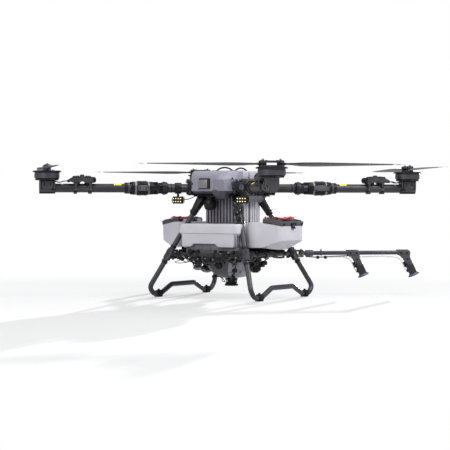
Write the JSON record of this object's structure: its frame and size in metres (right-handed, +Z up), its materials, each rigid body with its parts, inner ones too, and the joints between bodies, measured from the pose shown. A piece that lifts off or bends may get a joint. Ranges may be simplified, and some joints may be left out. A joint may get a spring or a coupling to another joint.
{
  "type": "folding spraying quadcopter",
  "caption": "Folding four-rotor spraying drone with a lidded twin-lobe tank, ribbed battery packs, bent tube skids and two rear spray booms.",
  "frame": {"origin": "on the ground, under the middle of the airframe, level with the bottom of the foot pads", "axes": "-Y is forward, +X is the left side of the drone, +Z is up"},
  "size_m": [2.5922, 2.6002, 0.7962],
  "materials": {
    "carbon_tube": "satin woven carbon fibre tube",
    "black_plastic": "fine-grained moulded plastic",
    "dark_metal": "satin dark grey casting",
    "silver_metal": "satin anodised aluminium",
    "shell_lilac": "satin lilac-grey paint",
    "battery_case": "satin moulded case",
    "tank_plastic": "smooth moulded plastic",
    "rubber": "matt rubber",
    "red_plastic": "glossy red plastic",
    "blade_composite": "satin carbon composite",
    "sensor_glass": "satin smoked window",
    "hose_rubber": "matt rubber hose"
  },
  "bodies": {
    "root": {"centre_frame": "black_plastic", "front_shell": "shell_lilac", "sensor_panel": "sensor_glass", "radar_housing": "black_plastic", "battery_front": "battery_case", "battery_rear": "battery_case", "landing_leg_left": "carbon_tube", "landing_leg_right": "carbon_tube", "foot_pads": "rubber", "lower_frame": "carbon_tube", "tank": "tank_plastic", "sump": "dark_metal", "terrain_radar": "black_plastic", "pumps": "black_plastic", "work_lights": "black_plastic", "hoses": "hose_rubber", "inner_arm_rl": "carbon_tube", "inner_arm_rr": "carbon_tube", "inner_arm_fr": "carbon_tube", "inner_arm_fl": "carbon_tube"},
    "arm_rl": {"arm_rl": "carbon_tube", "esc_rl": "black_plastic", "motor_rl": "dark_metal"},
    "fold_latch_rl": {"fold_latch_rl": "silver_metal"},
    "rotor_rl": {"rotor_rl": "dark_metal"},
    "blade_a_rl": {"blade_a_rl": "blade_composite"},
    "blade_b_rl": {"blade_b_rl": "blade_composite"},
    "arm_rr": {"arm_rr": "carbon_tube", "esc_rr": "black_plastic", "motor_rr": "dark_metal"},
    "fold_latch_rr": {"fold_latch_rr": "silver_metal"},
    "rotor_rr": {"rotor_rr": "dark_metal"},
    "blade_a_rr": {"blade_a_rr": "blade_composite"},
    "blade_b_rr": {"blade_b_rr": "blade_composite"},
    "arm_fr": {"arm_fr": "carbon_tube", "esc_fr": "black_plastic", "motor_fr": "dark_metal"},
    "fold_latch_fr": {"fold_latch_fr": "silver_metal"},
    "rotor_fr": {"rotor_fr": "dark_metal"},
    "blade_a_fr": {"blade_a_fr": "blade_composite"},
    "blade_b_fr": {"blade_b_fr": "blade_composite"},
    "arm_fl": {"arm_fl": "carbon_tube", "esc_fl": "black_plastic", "motor_fl": "dark_metal"},
    "fold_latch_fl": {"fold_latch_fl": "silver_metal"},
    "rotor_fl": {"rotor_fl": "dark_metal"},
    "blade_a_fl": {"blade_a_fl": "blade_composite"},
    "blade_b_fl": {"blade_b_fl": "blade_composite"},
    "lid_left": {"lid_left": "black_plastic"},
    "lid_handle_left": {"lid_handle_left": "red_plastic"},
    "lid_latch_left": {"lid_latch_left": "black_plastic"},
    "lid_right": {"lid_right": "black_plastic"},
    "lid_handle_right": {"lid_handle_right": "red_plastic"},
    "lid_latch_right": {"lid_latch_right": "black_plastic"},
    "boom_left": {"boom_left": "carbon_tube"},
    "spray_disc_left_inner": {"spray_disc_left_inner": "black_plastic"},
    "spray_disc_left_outer": {"spray_disc_left_outer": "black_plastic"},
    "boom_right": {"boom_right": "carbon_tube"},
    "spray_disc_right_inner": {"spray_disc_right_inner": "black_plastic"},
    "spray_disc_right_outer": {"spray_disc_right_outer": "black_plastic"}
  },
  "joints": [
    {"name": "fold_rl", "type": "hinge", "parent": "root", "child": "arm_rl", "pos_m": [0.28708, 0.34931, 0.65], "axis": [0, 0, 1], "range_deg": [0, 120]},
    {"name": "latch_rl", "type": "hinge", "parent": "arm_rl", "child": "fold_latch_rl", "pos_m": [0.4476, 0.38396, 0.65], "axis": [0, 0, 1], "range_deg": [0, 75]},
    {"name": "spin_rl", "type": "hinge", "parent": "arm_rl", "child": "rotor_rl", "pos_m": [0.77782, 0.77782, 0.7434], "axis": [0, 0, 1], "continuous": true},
    {"name": "blade_fold_a_rl", "type": "hinge", "parent": "rotor_rl", "child": "blade_a_rl", "pos_m": [0.74423, 0.81141, 0.7696], "axis": [0, 0, 1], "range_deg": [-85, 85]},
    {"name": "blade_fold_b_rl", "type": "hinge", "parent": "rotor_rl", "child": "blade_b_rl", "pos_m": [0.81141, 0.74423, 0.7696], "axis": [0, 0, -1], "range_deg": [-85, 85]},
    {"name": "fold_rr", "type": "hinge", "parent": "root", "child": "arm_rr", "pos_m": [-0.34931, 0.28708, 0.65], "axis": [0, 0, 1], "range_deg": [0, 120]},
    {"name": "latch_rr", "type": "hinge", "parent": "arm_rr", "child": "fold_latch_rr", "pos_m": [-0.38396, 0.4476, 0.65], "axis": [0, 0, 1], "range_deg": [0, 75]},
    {"name": "spin_rr", "type": "hinge", "parent": "arm_rr", "child": "rotor_rr", "pos_m": [-0.77782, 0.77782, 0.7434], "axis": [0, 0, 1], "continuous": true},
    {"name": "blade_fold_a_rr", "type": "hinge", "parent": "rotor_rr", "child": "blade_a_rr", "pos_m": [-0.81141, 0.74423, 0.7696], "axis": [0, 0, 1], "range_deg": [-85, 85]},
    {"name": "blade_fold_b_rr", "type": "hinge", "parent": "rotor_rr", "child": "blade_b_rr", "pos_m": [-0.74423, 0.81141, 0.7696], "axis": [0, 0, -1], "range_deg": [-85, 85]},
    {"name": "fold_fr", "type": "hinge", "parent": "root", "child": "arm_fr", "pos_m": [-0.28708, -0.34931, 0.65], "axis": [0, 0, 1], "range_deg": [0, 120]},
    {"name": "latch_fr", "type": "hinge", "parent": "arm_fr", "child": "fold_latch_fr", "pos_m": [-0.4476, -0.38396, 0.65], "axis": [0, 0, 1], "range_deg": [0, 75]},
    {"name": "spin_fr", "type": "hinge", "parent": "arm_fr", "child": "rotor_fr", "pos_m": [-0.77782, -0.77782, 0.7434], "axis": [0, 0, 1], "continuous": true},
    {"name": "blade_fold_a_fr", "type": "hinge", "parent": "rotor_fr", "child": "blade_a_fr", "pos_m": [-0.74423, -0.81141, 0.7696], "axis": [0, 0, 1], "range_deg": [-85, 85]},
    {"name": "blade_fold_b_fr", "type": "hinge", "parent": "rotor_fr", "child": "blade_b_fr", "pos_m": [-0.81141, -0.74423, 0.7696], "axis": [0, 0, -1], "range_deg": [-85, 85]},
    {"name": "fold_fl", "type": "hinge", "parent": "root", "child": "arm_fl", "pos_m": [0.34931, -0.28708, 0.65], "axis": [0, 0, 1], "range_deg": [0, 120]},
    {"name": "latch_fl", "type": "hinge", "parent": "arm_fl", "child": "fold_latch_fl", "pos_m": [0.38396, -0.4476, 0.65], "axis": [0, 0, 1], "range_deg": [0, 75]},
    {"name": "spin_fl", "type": "hinge", "parent": "arm_fl", "child": "rotor_fl", "pos_m": [0.77782, -0.77782, 0.7434], "axis": [0, 0, 1], "continuous": true},
    {"name": "blade_fold_a_fl", "type": "hinge", "parent": "rotor_fl", "child": "blade_a_fl", "pos_m": [0.81141, -0.74423, 0.7696], "axis": [0, 0, 1], "range_deg": [-85, 85]},
    {"name": "blade_fold_b_fl", "type": "hinge", "parent": "rotor_fl", "child": "blade_b_fl", "pos_m": [0.74423, -0.81141, 0.7696], "axis": [0, 0, -1], "range_deg": [-85, 85]},
    {"name": "lid_hinge_left", "type": "hinge", "parent": "root", "child": "lid_left", "pos_m": [0.29341, 0, 0.4582], "axis": [0, -1, 0], "range_deg": [0, 100]},
    {"name": "lid_handle_left_lift", "type": "hinge", "parent": "lid_left", "child": "lid_handle_left", "pos_m": [0.3631, 0, 0.47504], "axis": [0, -1, 0], "range_deg": [0, 90]},
    {"name": "lid_latch_left_flip", "type": "hinge", "parent": "lid_left", "child": "lid_latch_left", "pos_m": [0.43745, 0, 0.44044], "axis": [0, -1, 0], "range_deg": [0, 110]},
    {"name": "lid_hinge_right", "type": "hinge", "parent": "root", "child": "lid_right", "pos_m": [-0.29341, 0, 0.4582], "axis": [0, 1, 0], "range_deg": [0, 100]},
    {"name": "lid_handle_right_lift", "type": "hinge", "parent": "lid_right", "child": "lid_handle_right", "pos_m": [-0.3631, 0, 0.47504], "axis": [0, 1, 0], "range_deg": [0, 90]},
    {"name": "lid_latch_right_flip", "type": "hinge", "parent": "lid_right", "child": "lid_latch_right", "pos_m": [-0.43745, 0, 0.44044], "axis": [0, 1, 0], "range_deg": [0, 110]},
    {"name": "boom_fold_left", "type": "hinge", "parent": "root", "child": "boom_left", "pos_m": [0.30901, 0.29564, 0.257], "axis": [0, 0, 1], "range_deg": [0, 60]},
    {"name": "spin_disc_left_inner", "type": "hinge", "parent": "boom_left", "child": "spray_disc_left_inner", "pos_m": [0.58289, 0.56953, 0.13149], "axis": [0.2988, 0.2988, -0.9063], "continuous": true},
    {"name": "spin_disc_left_outer", "type": "hinge", "parent": "boom_left", "child": "spray_disc_left_outer", "pos_m": [0.80917, 0.7958, 0.13149], "axis": [0.2988, 0.2988, -0.9063], "continuous": true},
    {"name": "boom_fold_right", "type": "hinge", "parent": "root", "child": "boom_right", "pos_m": [-0.30901, 0.29564, 0.257], "axis": [0, 0, -1], "range_deg": [0, 60]},
    {"name": "spin_disc_right_inner", "type": "hinge", "parent": "boom_right", "child": "spray_disc_right_inner", "pos_m": [-0.58289, 0.56953, 0.13149], "axis": [-0.2988, 0.2988, -0.9063], "continuous": true},
    {"name": "spin_disc_right_outer", "type": "hinge", "parent": "boom_right", "child": "spray_disc_right_outer", "pos_m": [-0.80917, 0.7958, 0.13149], "axis": [-0.2988, 0.2988, -0.9063], "continuous": true}
  ]
}
